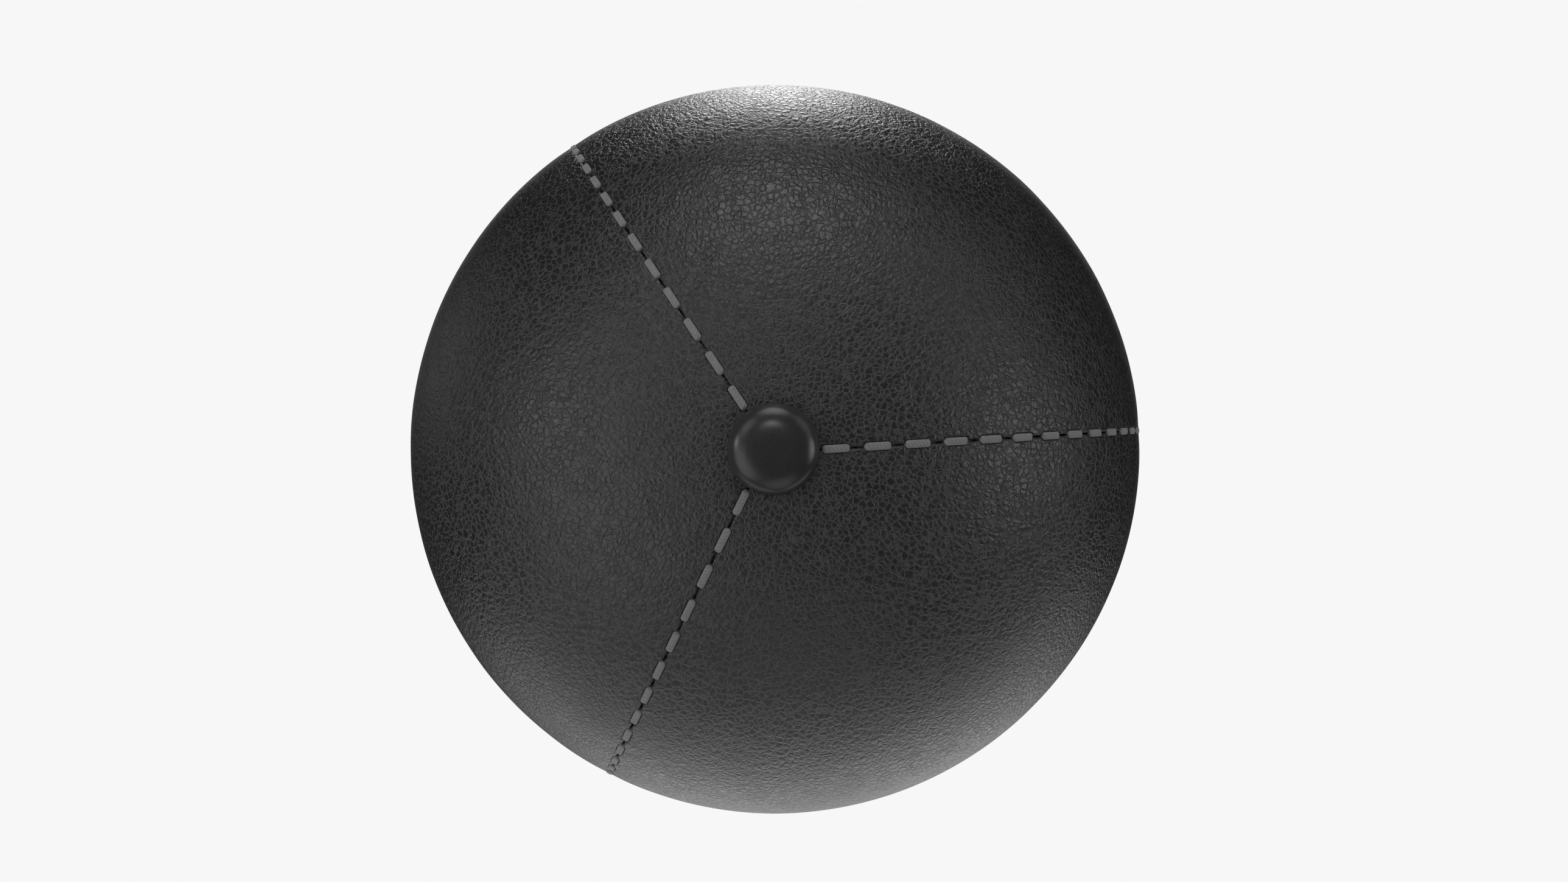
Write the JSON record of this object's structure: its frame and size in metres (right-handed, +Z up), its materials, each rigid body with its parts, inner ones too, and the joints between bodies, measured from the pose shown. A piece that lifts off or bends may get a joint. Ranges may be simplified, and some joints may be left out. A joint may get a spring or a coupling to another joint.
{
  "type": "medicine ball",
  "caption": "Round black leather medicine ball sewn from lune panels with grey running stitches, a domed cap at each pole, fibre stuffing and a sand core.",
  "frame": {"origin": "centre of the ball", "axes": "+Z up, polar axis along Y: the front cap is at -Y and the rear cap at +Y"},
  "size_m": [0.24, 0.249, 0.24],
  "materials": {
    "cover_leather": "satin",
    "lining_canvas": "matte",
    "webbing_tape": "matte",
    "waxed_thread": "matte",
    "wool_felt": "matte",
    "cotton_cloth": "matte",
    "fibre_stuffing": "matte",
    "ballast_cloth": "matte",
    "dry_sand": "matte",
    "cap_plastic": "satin",
    "zinc_steel": "satin",
    "backing_leather": "matte",
    "burr_brass": "satin"
  },
  "bodies": {
    "root": {"cover_panel_1": "cover_leather", "cover_panel_2": "cover_leather", "cover_panel_3": "cover_leather", "panel_lining_1": "lining_canvas", "panel_lining_2": "lining_canvas", "panel_lining_3": "lining_canvas", "seam_tape_1": "webbing_tape", "seam_tape_2": "webbing_tape", "seam_tape_3": "webbing_tape", "seam_thread_1": "waxed_thread", "seam_thread_2": "waxed_thread", "seam_thread_3": "waxed_thread", "felt_layer_front": "wool_felt", "felt_layer_rear": "wool_felt", "inner_bag_front": "cotton_cloth", "inner_bag_rear": "cotton_cloth", "stuffing_front": "fibre_stuffing", "stuffing_rear": "fibre_stuffing", "ballast_bag_front": "ballast_cloth", "ballast_bag_rear": "ballast_cloth", "ballast_tie": "waxed_thread", "ballast_sand": "dry_sand", "front_cap_dome": "cap_plastic", "front_cap_stud": "zinc_steel", "front_backing_disc": "backing_leather", "front_clamp_washer": "zinc_steel", "front_rivet_burr": "burr_brass", "rear_cap_dome": "cap_plastic", "rear_cap_stud": "zinc_steel", "rear_backing_disc": "backing_leather", "rear_clamp_washer": "zinc_steel", "rear_rivet_burr": "burr_brass"}
  },
  "joints": []
}
